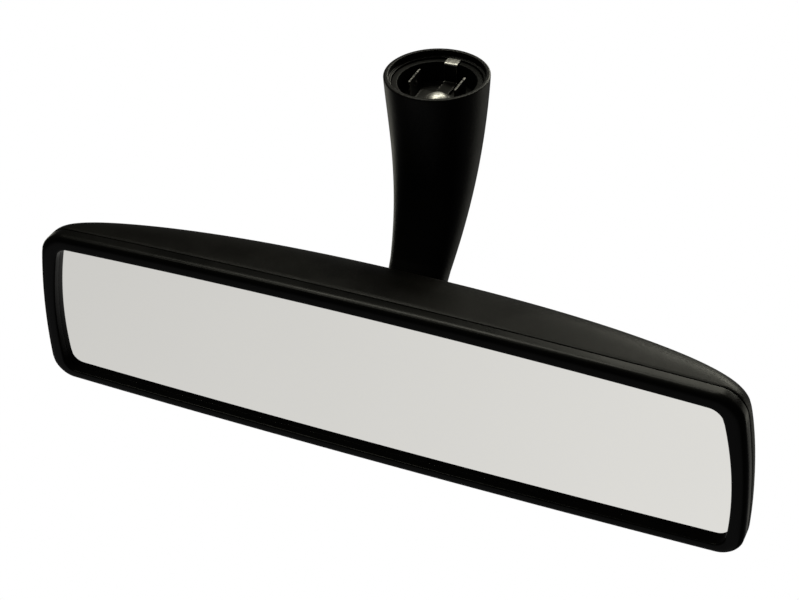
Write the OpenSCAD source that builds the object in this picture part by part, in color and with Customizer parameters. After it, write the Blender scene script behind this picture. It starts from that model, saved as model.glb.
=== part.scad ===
// Interior rear-view mirror for a car: a glass held in a bezel and rear housing,
// on a ball joint at the foot of a curved arm that hangs from the windscreen.
// Frame: origin at the middle of the socket's rim, +Z up out of the socket,
// the glass faces -Y, +X runs along the head.

/* [Head outline] */
// Width of the window that shows the glass
window_w = 230; // [224:1:236]
// Height of the window at its middle
window_h = 54; // [52:0.5:56]
// Width of the bezel's lip above the window
lip_top = 4.8; // [4.4:0.1:5.4]
// Width of the lip below the window
lip_bottom = 3.7; // [3.6:0.1:4.6]
// Width of the lip at each end
lip_side = 4.9; // [4.4:0.1:5.4]
// Drop of the window's top edge from the middle to the ends
window_crown = 2.4; // [1.5:0.1:3]
// The same drop on the outside of the bezel
bezel_crown = 2.1; // [1.5:0.1:3]
// Rise of the bottom edges from the middle to the ends
bottom_crown = 1.3; // [0.5:0.1:2]
// Bulge of the window's ends at mid height
window_bulge = 2.9; // [2:0.1:3.5]
// Bulge of the bezel's ends at mid height
bezel_bulge = 1.6; // [1:0.1:3]
// How far each end of the window leans in, per mm of height
window_lean = 0.096; // [0.06:0.002:0.12]
// How far each end of the bezel leans in, per mm of height
bezel_lean = 0.072; // [0.04:0.002:0.09]
// Corner radius of the window
window_corner = 3.6; // [3:0.1:5]
// Corner radius of the bezel's outside
bezel_corner = 7.6; // [7:0.1:10]

/* [Head depth] */
// Depth of the rear housing behind the bezel
housing_depth = 33.6; // [33.4:0.2:35]
// Fullness of the housing towards its ends: 2 is an ellipse, more is boxier
end_fullness = 2.35; // [2.2:0.05:2.6]
// Fullness of the housing's top
top_fullness = 2.55; // [2.4:0.05:2.8]
// Fullness of the housing's underside
low_fullness = 4.5; // [3:0.1:5]
// Wall of the rear housing
wall = 2; // [1.8:0.1:2.2]
// Step from the lip's front down to the reflecting face
recess = 2.4; // [2:0.1:3]
// Thickness of the mirror glass
glass_t = 2.2; // [2:0.1:2.4]

/* [Arm] */
// Height of the socket rim above the middle of the glass
drop = 81; // [79:0.5:85]
// Distance of the reflecting face in front of the socket's axis
reach = 55; // [53:0.5:57]
// Outer radius of the socket's rim
rim_r = 16.6; // [16.5:0.1:17.5]
// Radius of the bore just inside the rim
socket_r = 15.2; // [15.1:0.05:15.4]
// Width of the arm where it meets the head
foot_w = 19.9; // [18.5:0.1:20.5]
// Thickness of the arm where it meets the head
foot_t = 14.2; // [13:0.1:14.6]
// Lean of the arm's foot back from upright
lean = 36.8; // [36:0.2:37.6]
// Distance from the ball's centre up to the arm's bend
bend_gap = 28; // [27.6:0.2:28.4]

/* [Ball joint] */
// Radius of the ball
ball_r = 8; // [7.8:0.1:8]
// Radius of the neck between ball and arm
neck_r = 4; // [3.5:0.1:4]
// Distance of the ball's centre behind the reflecting face
ball_back = 22; // [21.6:0.1:22.2]
// Distance of the ball's centre below the middle of the glass
ball_low = 2.3; // [2:0.1:2.6]

/* [Hidden] */
$fn = 64;

black_satin = "#1b1b1c";
black_gloss = "#0c0c0d";
black_plastic = "#232324";
white_acetal = "#e4e2da";
bright_steel = "#b9bcc0";
dark_steel = "#4a4c50";
mirror_grey = "#d6d6d0";
foam_grey = "#3a3a3c";

glass_at = [0, -reach, -drop];
ball_at = glass_at + [0, ball_back, -ball_low];
bend_at = ball_at + bend_gap * [0, sin(lean), cos(lean)];

// ---- Outline of the head: k is 0 at the window's edge and 1 at the bezel's outside ----
side_steps = 3;
arc_steps = 6;
top_steps = 8;
half_w = window_w / 2;
half_h = window_h / 2;

function mix(a, b, k) = a + (b - a) * k;
function corner_at(k) = mix(window_corner, bezel_corner, k);
function top_at(x, k) = half_h + k * lip_top
  - mix(window_crown, bezel_crown, k) * pow(x / half_w, 2);
function bottom_at(x, k) = half_h + k * lip_bottom - bottom_crown * pow(x / half_w, 2);
function side_at(z, k) = half_w + k * lip_side
  - mix(window_bulge, bezel_bulge, k) * pow(z / half_h, 2) - mix(window_lean, bezel_lean, k) * z;

// Distance from a point of the head's plane in to the outline's edge
function inset_of(p, k) =
  let (dx = side_at(p.y, k) - abs(p.x))
  let (dz = p.y > 0 ? top_at(p.x, k) - p.y : bottom_at(p.x, k) + p.y)
  let (r = corner_at(k))
  dx < r && dz < r ? r - norm([r - dx, r - dz]) : min(dx, dz);

// Scale that carries a point near the outline onto it, by halving the interval
halvings = 18;
function scale_onto(p, k, low = 0.5, high = 1.5, turns = halvings) =
  let (mid = (low + high) / 2)
  turns == 0 ? mid
  : inset_of(p * mid, k) > 0 ? scale_onto(p, k, mid, high, turns - 1)
  : scale_onto(p, k, low, mid, turns - 1);

// One quarter of a plain rounded rectangle, from its right end up to its top middle
quarter_w = half_w + lip_side;
quarter_h = half_h + lip_top;
quarter = concat(
  [for (i = [0:side_steps - 1]) [quarter_w, (quarter_h - bezel_corner) * i / side_steps]],
  [for (i = [0:arc_steps]) [quarter_w - bezel_corner, quarter_h - bezel_corner]
    + bezel_corner * [cos(90 * i / arc_steps), sin(90 * i / arc_steps)]],
  [for (i = [1:top_steps]) [(quarter_w - bezel_corner) * (1 - i / top_steps), quarter_h]]);
last = len(quarter) - 1;
rays = concat(
  [for (i = [0:last - 1]) quarter[i]],
  [for (i = [last:-1:1]) [-quarter[i].x, quarter[i].y]],
  [for (i = [0:last - 1]) [-quarter[i].x, -quarter[i].y]],
  [for (i = [last:-1:1]) [quarter[i].x, -quarter[i].y]]);
around = len(rays);

function outline(k) = [for (p = rays) p * scale_onto(p, k)];
function ring(k, y) = [for (p = outline(k)) [p.x, y, p.y]];

// ---- Rear housing's depth, t of the way out to a point on the outline's edge ----
dome_power = 2.5;
edge_pull = 12;
function fall(a, fullness) = 1 - pow(min(abs(a), 1), fullness);
function spread(p, k) = fall(p.x / side_at(p.y, k), end_fullness)
  * (p.y > 0 ? fall(p.y / top_at(p.x, k), top_fullness)
    : fall(p.y / bottom_at(p.x, k), low_fullness));
function dome(edge, t, k) =
  pow(max(spread(edge * t, k) - spread(edge, k) * pow(t, edge_pull), 0), 1 / dome_power);

// ---- Solids from rings of points ----
function quads(n, a, b) = [for (j = [0:n - 1]) let (m = (j + 1) % n)
  each [[a + j, b + j, b + m], [a + j, b + m, a + m]]];

// A closed band, such as a frame: the rings run right round its section
module band(rings) {
  n = len(rings[0]);
  count = len(rings);
  polyhedron([for (r = rings) each r],
    [for (i = [0:count - 1]) each quads(n, i * n, ((i + 1) % count) * n)]);
}

// A solid skin over a stack of rings, closed at both ends
module stack(rings) {
  n = len(rings[0]);
  count = len(rings);
  polyhedron([for (r = rings) each r],
    concat([for (i = [0:count - 2]) each quads(n, i * n, (i + 1) * n)],
      [[for (j = [0:n - 1]) j], [for (j = [n - 1:-1:0]) (count - 1) * n + j]]));
}

// ---- Bezel: a closed frame with a lip, a pocket for the glass and a skirt ----
part_y = 2;
part_gap = 0.3;
front_y = -recess - 0.4;
glass_k = 0.3;
pocket_k = 0.34;
skirt_k = 0.55;
rim_k = 0.64;
skirt_y = part_y + 2.8;
// The lip's rounded front from outside to inside: place across the lip, height over its front
lip_round = [[1, 2.9], [0.93, 1.5], [0.76, 0.3], [0.45, 0], [0.12, 0.05]];

module bezel() {
  color(black_gloss) translate(glass_at)
    band(concat([ring(1, part_y)], [for (p = lip_round) ring(p[0], front_y + p[1])],
      [ring(0, -recess), ring(0, 0), ring(pocket_k, 0), ring(pocket_k, skirt_y),
      ring(skirt_k, skirt_y), ring(skirt_k, part_y)]));
}

// ---- Rear housing: a thin dome with an oval throat for the arm and four screw posts ----
dome_steps = 11;
crown_angle = 88;
house_y = part_y + part_gap;
throat_r = 11;
throat_shift = 0.8;
throat_side = 6.8;
throat_from = 6;
throat_to = 34;
post_r = 3.5;
post_x = 64;
post_z = 12.5;
pilot_r = 1.1;
pilot_deep = 9;
carrier_y = 4.5;
carrier_t = 2;
post_y = carrier_y + carrier_t;

function dome_ring(k, deep, t) = [for (p = outline(k))
  [p.x * t, house_y + deep * dome(p, t, k), p.y * t]];
function dome_rings(k, deep) = [for (i = [0:dome_steps])
  dome_ring(k, deep, pow(cos(crown_angle * i / dome_steps), 2 / dome_power))];
function skin_y(x, z) = house_y + housing_depth * pow(spread([x, z], 1), 1 / dome_power);

// A solid cup: outer and inner rings both run from the rim to the crown
module cup_skin(outer, inner) {
  n = len(outer[0]);
  rows = len(outer);
  inside = n * rows;
  polyhedron([for (r = concat(outer, inner)) each r],
    concat([for (i = [0:rows - 2]) each quads(n, (i + 1) * n, i * n)],
      [[for (j = [0:n - 1]) (rows - 1) * n + j]],
      [for (i = [0:rows - 2]) each quads(n, inside + i * n, inside + (i + 1) * n)],
      [[for (j = [n - 1:-1:0]) inside + (rows - 1) * n + j]],
      quads(n, 0, inside)));
}

module along_y(y) translate([0, y, 0]) rotate([-90, 0, 0]) children();
module on_ball_axis() translate(ball_at) rotate([-lean, 0, 0]) children();
module four(x, z) for (sx = [-1, 1], sz = [-1, 1]) translate([sx * x, 0, sz * z]) children();

module throat() {
  on_ball_axis() {
    for (s = [-1, 1]) translate([s * throat_side, -throat_shift, throat_from])
      cylinder(r = throat_r, h = throat_to - throat_from);
    translate([-throat_side, -throat_r - throat_shift, throat_from])
      cube([2 * throat_side, 2 * throat_r, throat_to - throat_from]);
  }
}

// Length of a post, so that its outer corner ends inside the housing's wall
corner_share = 0.7;
wall_bite = 0.4;
function post_h(sz) =
  skin_y(post_x + corner_share * post_r, sz * (post_z + corner_share * post_r))
  - wall_bite * wall - post_y;

module rear_housing() {
  color(black_satin) difference() {
    union() {
      translate(glass_at)
        cup_skin(dome_rings(1, housing_depth), dome_rings(rim_k, housing_depth - wall));
      for (sx = [-1, 1], sz = [-1, 1]) translate(glass_at + [sx * post_x, post_y, sz * post_z])
        rotate([-90, 0, 0]) cylinder(r = post_r, h = post_h(sz));
    }
    throat();
    translate(glass_at) four(post_x, post_z) along_y(post_y - 1)
      cylinder(r = pilot_r, h = pilot_deep + 1);
  }
}

// ---- Glass and what lies behind it ----
film_t = 0.3;
film_k = glass_k - 0.04;
pad_h = 28;
// Each pair of pads: distance of its middle from the head's middle, and its width
pad_pairs = [[42, 24], [82, 16]];

module slab(k, y, t) translate([0, y + t, 0]) rotate([90, 0, 0]) linear_extrude(t) polygon(outline(k));

module mirror_glass() color(mirror_grey) translate(glass_at) slab(glass_k, 0, glass_t);

module backing_film() color(foam_grey) translate(glass_at) slab(film_k, glass_t, film_t);

module foam_pads() {
  y = glass_t + film_t;
  color(foam_grey) translate(glass_at)
    for (s = [-1, 1], pad = pad_pairs)
      translate([s * pad[0] - pad[1] / 2, y, -pad_h / 2]) cube([pad[1], carrier_y - y, pad_h]);
}

// ---- Carrier plate across the head, screwed to the housing's posts ----
carrier_w = 184;
carrier_h = 40;
carrier_corner = 6;
flange_t = 1.2;
flange_d = 3;
screw_r = 1.05;
clear_r = 1.6;
cut = 1;
light_hole = [18, 14, 3];
light_hole_x = 42;
head_r = 2.7;
head_t = 1.5;
cross_w = 3;
cross_t = 0.6;
cross_deep = 0.8;
cup_screw_x = 20;
cup_screw_z = 11;
cup_screw_low = 3;
cup_screw_l = 9;

module rounded_rect(w, h, r) {
  square([w - 2 * r, h], center = true);
  square([w, h - 2 * r], center = true);
  for (sx = [-1, 1], sy = [-1, 1]) translate([sx * (w / 2 - r), sy * (h / 2 - r)]) circle(r);
}

module carrier_plate() {
  color(dark_steel) translate(glass_at) difference() {
    union() {
      along_y(carrier_y) linear_extrude(carrier_t) rounded_rect(carrier_w, carrier_h, carrier_corner);
      for (s = [-1, 1]) translate([-carrier_w / 2 + carrier_corner,
          carrier_y + carrier_t, s * (carrier_h - flange_t) / 2 - flange_t / 2])
        cube([carrier_w - 2 * carrier_corner, flange_d, flange_t]);
    }
    four(post_x, post_z) along_y(carrier_y - cut) cylinder(r = clear_r, h = carrier_t + 2 * cut);
    translate([0, 0, -cup_screw_low]) four(cup_screw_x, cup_screw_z)
      along_y(carrier_y - cut) cylinder(r = clear_r, h = carrier_t + 2 * cut);
    for (s = [-1, 1]) translate([s * light_hole_x, 0, 0]) along_y(carrier_y - cut)
      linear_extrude(carrier_t + 2 * cut) rounded_rect(light_hole[0], light_hole[1], light_hole[2]);
  }
}

// A pan-head screw with a cross recess: its head sits below z = 0, its shank above
module pan_screw(shank) {
  difference() {
    union() {
      translate([0, 0, -head_t]) cylinder(r = head_r, h = head_t);
      cylinder(r = screw_r, h = shank);
    }
    for (turn = [0, 90]) rotate([0, 0, turn])
      translate([-cross_w / 2, -cross_t / 2, -head_t - cut]) cube([cross_w, cross_t, cut + cross_deep]);
  }
}

module carrier_screws() {
  color(bright_steel) translate(glass_at) four(post_x, post_z)
    along_y(carrier_y) pan_screw(carrier_t + pilot_deep - 1);
}

module cup_screws() {
  color(bright_steel) translate(glass_at + [0, 0, -cup_screw_low]) four(cup_screw_x, cup_screw_z)
    along_y(carrier_y) pan_screw(cup_screw_l);
}

// ---- Ball joint: cup, two liners, clamp ring with screws and spring washers ----
liner_t = 1.2;
fit = 0.05;
liner_r = ball_r + fit;
seat_r = liner_r + liner_t + fit;
cup_r = 12.4;
cup_low = 10.8;
cup_high = 1.5;
ring_high = 6.3;
ring_top_r = 10;
ear_x = 15.6;
ear_r = 3.4;
ear_low = 5;
ear_t = 2.4;
spring_t = 0.8;
foot_plate = [50, 2.5, 31];
foot_mid_z = -3;
rib = [2.4, 18, 10];
rib_x = 7;
rib_z = -17;
boss_h = 7.5;
thread_h = 8;
lip_inset = 0.5;
front_cut = [60, 20, 60];
washer_r = 3;
washer_top_r = 2.4;
washer_hole_r = 1.3;
clamp_thread_h = 5;

module ears(low, t) {
  for (s = [-1, 1]) translate([s * ear_x, 0, low]) cylinder(r = ear_r, h = t);
  translate([-ear_x, -ear_r, low]) cube([2 * ear_x, 2 * ear_r, t]);
}

module ball_cup() {
  color(black_plastic) difference() {
    union() {
      on_ball_axis() {
        translate([0, 0, -cup_low]) cylinder(r = cup_r, h = cup_low + cup_high);
        ears(-ear_low, ear_low + cup_high);
      }
      translate(glass_at + [-foot_plate.x / 2, post_y, foot_mid_z - foot_plate.z / 2])
        cube(foot_plate);
      for (s = [-1, 1]) translate(glass_at + [s * rib_x - rib.x / 2, post_y, rib_z]) cube(rib);
      translate(glass_at + [0, 0, -cup_screw_low]) four(cup_screw_x, cup_screw_z)
        along_y(post_y) cylinder(r = post_r, h = boss_h);
    }
    translate(glass_at + [0, post_y - front_cut.y / 2, 0]) cube(front_cut, center = true);
    translate(ball_at) sphere(r = seat_r);
    on_ball_axis() {
      translate([0, 0, cup_high - cut])
        cylinder(r = sqrt(pow(seat_r, 2) - pow(lip_inset, 2)), h = 4 * cut);
      for (s = [-1, 1]) translate([s * ear_x, 0, cup_high - clamp_thread_h - cut])
        cylinder(r = pilot_r, h = thread_h);
    }
    translate(glass_at + [0, 0, -cup_screw_low]) four(cup_screw_x, cup_screw_z)
      along_y(post_y - cut) cylinder(r = pilot_r, h = thread_h);
  }
}

module clamp_ring() {
  color(dark_steel) difference() {
    on_ball_axis() {
      translate([0, 0, cup_high]) cylinder(r1 = cup_r, r2 = ring_top_r, h = ring_high - cup_high);
      ears(cup_high, ear_t);
    }
    translate(ball_at) sphere(r = seat_r);
    on_ball_axis() for (s = [-1, 1]) translate([s * ear_x, 0, cup_high - cut])
      cylinder(r = clear_r, h = ear_t + 2 * cut);
  }
}

module clamp_springs() {
  color(bright_steel) on_ball_axis() for (s = [-1, 1])
    translate([s * ear_x, 0, cup_high + ear_t]) difference() {
      cylinder(r1 = washer_r, r2 = washer_top_r, h = spring_t);
      translate([0, 0, -cut]) cylinder(r = washer_hole_r, h = spring_t + 2 * cut);
    }
}

module clamp_screws() {
  color(bright_steel) on_ball_axis() for (s = [-1, 1])
    translate([s * ear_x, 0, cup_high + ear_t + spring_t]) mirror([0, 0, 1])
      pan_screw(ear_t + spring_t + clamp_thread_h);
}

// A ball-shaped liner between two heights on the ball's axis, with a hole on the axis
module liner_band(low, high, hole) {
  wide = 4 * liner_r;
  difference() {
    sphere(r = liner_r + liner_t);
    sphere(r = liner_r);
    translate([0, 0, high + wide / 2]) cube(wide, center = true);
    translate([0, 0, low - wide / 2]) cube(wide, center = true);
    cylinder(r = hole, h = wide, center = true);
  }
}

inner_band = [-12, -1];
outer_band = [1.6, 5.6];
grease_hole_r = 1.5;
outer_hole_r = 3;

module inner_liner() color(white_acetal) on_ball_axis()
  liner_band(inner_band[0], inner_band[1], grease_hole_r);

module outer_liner() color(white_acetal) on_ball_axis()
  liner_band(outer_band[0], outer_band[1], outer_hole_r);

shank_r = 4.5;
shank_from = 13.4;
shank_to = 33;
pin_r = 1.5;
pin_up = 18;
pin_l = foot_w - 4;
press = 0.02;

module ball_stud() {
  color(bright_steel) difference() {
    on_ball_axis() {
      sphere(r = ball_r);
      cylinder(r = neck_r, h = shank_from);
      translate([0, 0, shank_from]) cylinder(r = shank_r, h = shank_to - shank_from);
    }
    cross_pin(pin_r + press, 2 * pin_l);
  }
}

module cross_pin(r, h) on_ball_axis() translate([0, 0, pin_up]) rotate([0, 90, 0])
  cylinder(r = r, h = h, center = true);

module stud_pin() color(bright_steel) cross_pin(pin_r, pin_l);

// ---- Arm: round at the socket, flattening and bending towards the ball ----
arm_steps = 18;
arm_around = 48;
bend_power = tan(lean) * bend_at.z / bend_at.y;
socket_step = 2;
seat_bore = 14.3;
socket_deep = 10.6;
rivet_hole_r = 1.8;
rivet_hole_deep = 4;
width_ease = 1.15;
depth_ease = 1.3;
round_section = 2;
foot_section = 2.5;
// Below the bend: distance up from the ball's centre, and size as a share of the foot's
foot_taper = [[22, 0.97], [18, 0.93], [15, 0.88], [13.9, 0.83], [shank_from, 0.74]];

function power(c, n) = sign(c) * pow(abs(c), n);
function arm_w(s) = mix(2 * rim_r, foot_w, pow(s, width_ease));
function arm_t(s) = mix(2 * rim_r, foot_t, pow(s, depth_ease));

// A rounded section across the arm at a point, a being its lean there
function section(at, a, w, t, squareness) = [for (i = [0:arm_around - 1])
  let (turn = -360 * i / arm_around)
  let (x = power(cos(turn), 2 / squareness) * w / 2)
  let (v = power(sin(turn), 2 / squareness) * t / 2)
  at + [x, v * cos(a), -v * sin(a)]];

function curved(s) = section([0, bend_at.y * pow(s, bend_power), bend_at.z * s],
  atan(tan(lean) * pow(s, bend_power - 1)), arm_w(s), arm_t(s),
  mix(round_section, foot_section, s));

function straight(up, scale) = section(ball_at + up * [0, sin(lean), cos(lean)],
  lean, scale * foot_w, scale * foot_t, foot_section);

module arm() {
  color(black_satin) difference() {
    stack(concat([for (i = [0:arm_steps]) curved(i / arm_steps)],
      [for (p = foot_taper) straight(p[0], p[1])]));
    translate([0, 0, -socket_step]) cylinder(r = socket_r, h = socket_step + cut);
    translate([0, 0, -socket_deep]) cylinder(r = seat_bore, h = socket_deep);
    translate([0, 0, -socket_deep - rivet_hole_deep])
      cylinder(r = rivet_hole_r, h = rivet_hole_deep + cut);
    on_ball_axis() translate([0, 0, shank_from - cut])
      cylinder(r = shank_r + press, h = shank_to - shank_from + cut);
    cross_pin(pin_r + press, pin_l + 2 * press);
  }
}

// ---- What sits in the socket ----
insert_floor = 1;
insert_top = -2.6;
insert_wall = 1.9;
clip_t = 0.6;
clip_x = 7.9;
clip_y = 4.2;
clip_top = -2.1;
clip_z = -socket_deep + insert_floor;
nib_r = 1.1;
nib_z = (clip_z + clip_top) / 2 + 1;
nib_trim = [3, 4, 4];
leaf_t = 0.4;
leaf_z = clip_z + clip_t;
leaf_w = 4.3;
leaf_top = -2.1;
leaf_eye_r = 4;
leaf_tail = 1;
tip_y = 11;
tip_l = 3.1;
rivet_r = 3.5;
rivet_h = 1.6;
rivet_shank = 1.75;
rivet_end = 3.5;

module socket_insert() {
  color(black_plastic) difference() {
    translate([0, 0, -socket_deep]) cylinder(r = seat_bore - fit, h = socket_deep + insert_top);
    translate([0, 0, clip_z]) cylinder(r = seat_bore - fit - insert_wall, h = socket_deep);
    translate([0, 0, -socket_deep - cut]) cylinder(r = rivet_hole_r, h = insert_floor + 2 * cut);
  }
}

module retaining_clip() {
  color(dark_steel) difference() {
    union() {
      translate([-clip_x, -clip_y, clip_z]) cube([2 * clip_x, 2 * clip_y, clip_t]);
      for (s = [-1, 1]) translate([s * (clip_x - clip_t / 2) - clip_t / 2, -clip_y, clip_z])
        cube([clip_t, 2 * clip_y, clip_top - clip_z]);
      for (s = [-1, 1]) translate([s * (clip_x - clip_t), 0, nib_z]) sphere(r = nib_r);
    }
    translate([0, 0, clip_z - cut]) cylinder(r = rivet_hole_r, h = clip_t + 2 * cut);
    for (s = [-1, 1]) translate([s * (clip_x + nib_trim.x / 2), 0, nib_z])
      cube(nib_trim, center = true);
  }
}

module locking_spring() {
  color(dark_steel) difference() {
    union() {
      translate([-leaf_w / 2, -leaf_w / 2 - leaf_tail, leaf_z])
        cube([leaf_w, tip_y + leaf_w / 2 + leaf_tail, leaf_t]);
      translate([0, 0, leaf_z]) cylinder(r = leaf_eye_r, h = leaf_t);
      translate([-leaf_w / 2, tip_y - leaf_t, leaf_z]) cube([leaf_w, leaf_t, leaf_top - leaf_z]);
      translate([-leaf_w / 2, tip_y - leaf_t, leaf_top - leaf_t])
        cube([leaf_w, tip_l + leaf_t, leaf_t]);
    }
    translate([0, 0, leaf_z - cut]) cylinder(r = rivet_hole_r, h = leaf_t + 2 * cut);
  }
}

// Domed head: a slice of a large sphere over the shank
module clip_rivet() {
  z = leaf_z + leaf_t;
  dome_r = (pow(rivet_r, 2) + pow(rivet_h, 2)) / (2 * rivet_h);
  color(bright_steel) union() {
    intersection() {
      translate([0, 0, z + rivet_h - dome_r]) sphere(r = dome_r);
      translate([0, 0, z]) cylinder(r = rivet_r + cut, h = rivet_h + cut);
    }
    translate([0, 0, -socket_deep - rivet_end])
      cylinder(r = rivet_shank, h = z + socket_deep + rivet_end + rivet_h / 2);
  }
}

arm();
ball_stud();
stud_pin();
socket_insert();
retaining_clip();
locking_spring();
clip_rivet();
inner_liner();
outer_liner();
rear_housing();
bezel();
mirror_glass();
backing_film();
foam_pads();
carrier_plate();
carrier_screws();
ball_cup();
cup_screws();
clamp_ring();
clamp_screws();
clamp_springs();
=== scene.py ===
"""Finish for an interior rear-view mirror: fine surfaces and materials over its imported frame.

Everything is in metres in the part's own frame: the origin is the middle of the socket's rim,
+Z points up out of the socket, the glass faces -Y and +X runs along the head.
"""

import math

import bmesh
import bpy
import numpy as np
from bpy.props import FloatProperty, FloatVectorProperty, IntProperty, PointerProperty
from bpy.types import Operator, Panel, PropertyGroup
from mathutils import Matrix, Vector


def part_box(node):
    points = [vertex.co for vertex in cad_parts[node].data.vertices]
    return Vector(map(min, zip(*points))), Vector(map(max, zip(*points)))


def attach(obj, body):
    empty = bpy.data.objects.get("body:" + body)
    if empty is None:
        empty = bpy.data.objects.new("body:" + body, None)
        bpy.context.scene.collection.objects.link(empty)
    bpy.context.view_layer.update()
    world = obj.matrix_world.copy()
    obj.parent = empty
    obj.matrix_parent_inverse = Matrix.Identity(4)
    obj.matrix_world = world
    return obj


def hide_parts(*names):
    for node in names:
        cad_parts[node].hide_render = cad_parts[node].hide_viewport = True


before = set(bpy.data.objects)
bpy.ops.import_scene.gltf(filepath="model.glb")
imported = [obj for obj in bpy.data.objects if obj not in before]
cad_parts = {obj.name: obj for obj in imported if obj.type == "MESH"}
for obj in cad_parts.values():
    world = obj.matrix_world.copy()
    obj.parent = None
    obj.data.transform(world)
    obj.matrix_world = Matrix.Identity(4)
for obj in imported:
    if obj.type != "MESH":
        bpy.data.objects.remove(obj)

bl_info = {
    "name": "Interior mirror finish",
    "version": (1, 0, 0),
    "blender": (4, 5, 0),
    "location": "3D View > Sidebar > Mirror",
    "description": "Builds the fine surfaces, finishes and stage of an interior rear-view mirror",
    "category": "Object",
}

MM = 0.001
GLASS_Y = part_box("mirror_glass")[0].y
HEAD_MIDDLE = Vector((0.0, GLASS_Y, -0.081))
SOCKET_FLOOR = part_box("socket_insert")[0].z
# Height above which the locking leaf's tip is painted brighter: a painted highlight
LEAF_HIGHLIGHT_FROM = -0.0026


# ---------------------------------------------------------------- values a user may change


def length(name, description, default, **more):
    """A length in metres for a property group."""
    return FloatProperty(
        name=name, description=description, default=default, min=0.0, precision=5, unit="LENGTH", **more
    )


def number(name, description, default, **more):
    """A plain number for a property group."""
    return FloatProperty(name=name, description=description, default=default, precision=4, **more)


def colour(name, description, default):
    """A linear colour for a property group."""
    return FloatVectorProperty(
        name=name, description=description, default=default, size=3, min=0.0, max=1.0, subtype="COLOR"
    )


class MirrorHeadSizes(PropertyGroup):
    """Outline and depth of the head"""

    window_w: length("Window width", "Width of the window that shows the glass", 0.230)
    window_h: length("Window height", "Height of the window at its middle", 0.054)
    lip_top: length("Top lip", "Width of the bezel's lip above the window", 0.0048)
    lip_bottom: length("Bottom lip", "Width of the lip below the window", 0.0037)
    lip_side: length("End lip", "Width of the lip at each end", 0.0049)
    window_crown: length("Window crown", "Drop of the window's top edge to the ends", 0.0024)
    bezel_crown: length("Bezel crown", "Drop of the bezel's top edge to the ends", 0.0021)
    bottom_crown: length("Bottom crown", "Rise of the bottom edges to the ends", 0.0013)
    window_bulge: length("Window bulge", "Bulge of the window's ends at mid height", 0.0029)
    bezel_bulge: length("Bezel bulge", "Bulge of the bezel's ends at mid height", 0.0016)
    window_lean: number("Window lean", "How far the window's ends lean in over the height", 0.096)
    bezel_lean: number("Bezel lean", "How far the bezel's ends lean in over the height", 0.072)
    window_corner: length("Window corner", "Corner radius of the window", 0.0036)
    bezel_corner: length("Bezel corner", "Corner radius of the bezel's outside", 0.0076)
    depth: length("Shell depth", "Depth of the rear shell behind the bezel", 0.0336)
    end_fullness: number("End fullness", "Fullness of the shell towards its ends", 2.35)
    top_fullness: number("Top fullness", "Fullness of the shell's top", 2.55)
    low_fullness: number("Underside fullness", "Fullness of the shell's underside", 4.5)
    wall: length("Shell wall", "Wall of the rear shell", 0.002)
    recess: length("Recess", "Step from the lip's front down to the glass", 0.0024)
    lip_round: length("Lip rounding", "Radius of the lip's outer edge", 0.0026)
    edge_round: length("Edge rounding", "Radius of the moulded edges", 0.0003)


class MirrorArmSizes(PropertyGroup):
    """Socket, arm and ball"""

    rim_r: length("Rim radius", "Outer radius of the socket's rim", 0.0166)
    socket_r: length("Socket radius", "Radius of the bore just inside the rim", 0.0152)
    seat_r: length("Seat radius", "Radius of the bore below the step", 0.0143)
    socket_step: length("Step depth", "Depth of the step below the rim", 0.002)
    socket_deep: length("Socket depth", "Depth of the socket's floor", 0.0106)
    foot_w: length("Foot width", "Width of the arm where it meets the head", 0.0199)
    foot_t: length("Foot thickness", "Thickness of the arm where it meets the head", 0.0142)
    lean: FloatProperty(
        name="Lean", description="Lean of the arm's foot back from upright",
        default=math.radians(36.8), subtype="ANGLE",
    )
    bend_gap: length("Bend gap", "Distance from the ball's centre up to the bend", 0.028)
    ball_back: length("Ball depth", "Distance of the ball's centre behind the glass", 0.022)
    ball_low: length("Ball drop", "Distance of the ball's centre below the middle", 0.0023)
    rim_round: length("Rim rounding", "Radius of the rim's outer edge", 0.0005)
    bore_round: length("Bore rounding", "Radius of the bore's edges", 0.00025)


class MirrorColours(PropertyGroup):
    """Colours and grain of the finishes"""

    shell: colour("Shell", "Moulded rear shell", (0.0008, 0.00075, 0.0006))
    bezel: colour("Bezel", "Smooth bezel", (0.0007, 0.0007, 0.0006))
    arm: colour("Arm", "Painted arm", (0.0007, 0.00065, 0.00055))
    moulded: colour("Inner mouldings", "Black glass-filled plastic", (0.0008, 0.0008, 0.0007))
    silver: colour("Silvering", "Reflecting layer of the glass", (0.80, 0.79, 0.755))
    lacquer: colour("Lacquer", "Paint on the back and edge of the glass", (0.045, 0.05, 0.048))
    steel: colour("Bright steel", "Plated screws, springs and rivet", (0.58, 0.57, 0.54))
    dark_steel: colour("Dark steel", "Blackened spring steel", (0.009, 0.0088, 0.0083))
    acetal: colour("Acetal", "Ball liners", (0.74, 0.72, 0.66))
    foam: colour("Foam", "Pads behind the glass", (0.028, 0.028, 0.030))
    film: colour("Film", "Safety film behind the glass", (0.02, 0.021, 0.024))
    grain: length("Grain", "Width of one grain of the moulded texture", 0.00032)


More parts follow.
